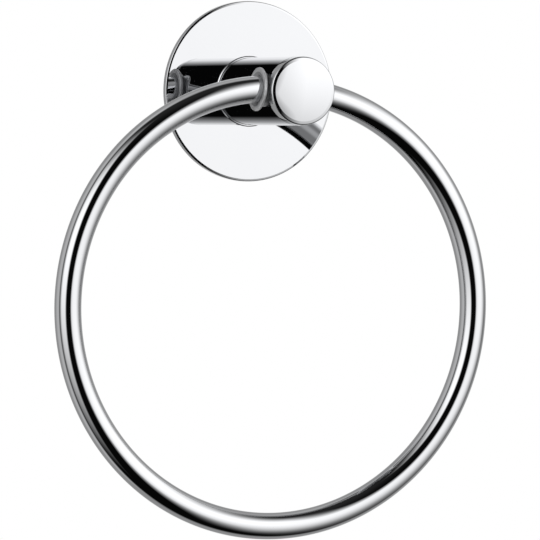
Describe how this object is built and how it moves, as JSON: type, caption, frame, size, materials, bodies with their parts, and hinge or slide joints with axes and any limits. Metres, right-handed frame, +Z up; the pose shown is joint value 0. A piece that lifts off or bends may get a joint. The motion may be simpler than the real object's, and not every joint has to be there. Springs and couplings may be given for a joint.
{
  "type": "towel ring",
  "caption": "Wall-mounted towel ring: a round tube ring swings in plastic bushes at the end of a short round post on a disc rosette.",
  "frame": {"origin": "middle of the wall bracket's back, on the wall, on the post's axis", "axes": "+Z up along the wall, -Y straight out of the wall along the post, +X to the right for someone facing the wall"},
  "size_m": [0.1602, 0.051, 0.1858],
  "materials": {
    "polished_chrome": "mirror-polished chrome plate",
    "grey_plastic": "pale grey moulded plastic, slightly glossy",
    "plain_metal": "plain zinc-plated"
  },
  "bodies": {
    "holder": {"rosette": "polished_chrome", "wall_bracket": "plain_metal", "post": "polished_chrome", "end_cap": "polished_chrome", "grub_screw": "plain_metal"},
    "ring": {"ring": "polished_chrome", "bush_left": "grey_plastic", "bush_right": "grey_plastic"}
  },
  "joints": [
    {"name": "ring_swing", "type": "hinge", "parent": "holder", "child": "ring", "pos_m": [0, -0.04055, -0.00065], "axis": [-1, 0, 0], "range_deg": [-13, 193]}
  ]
}
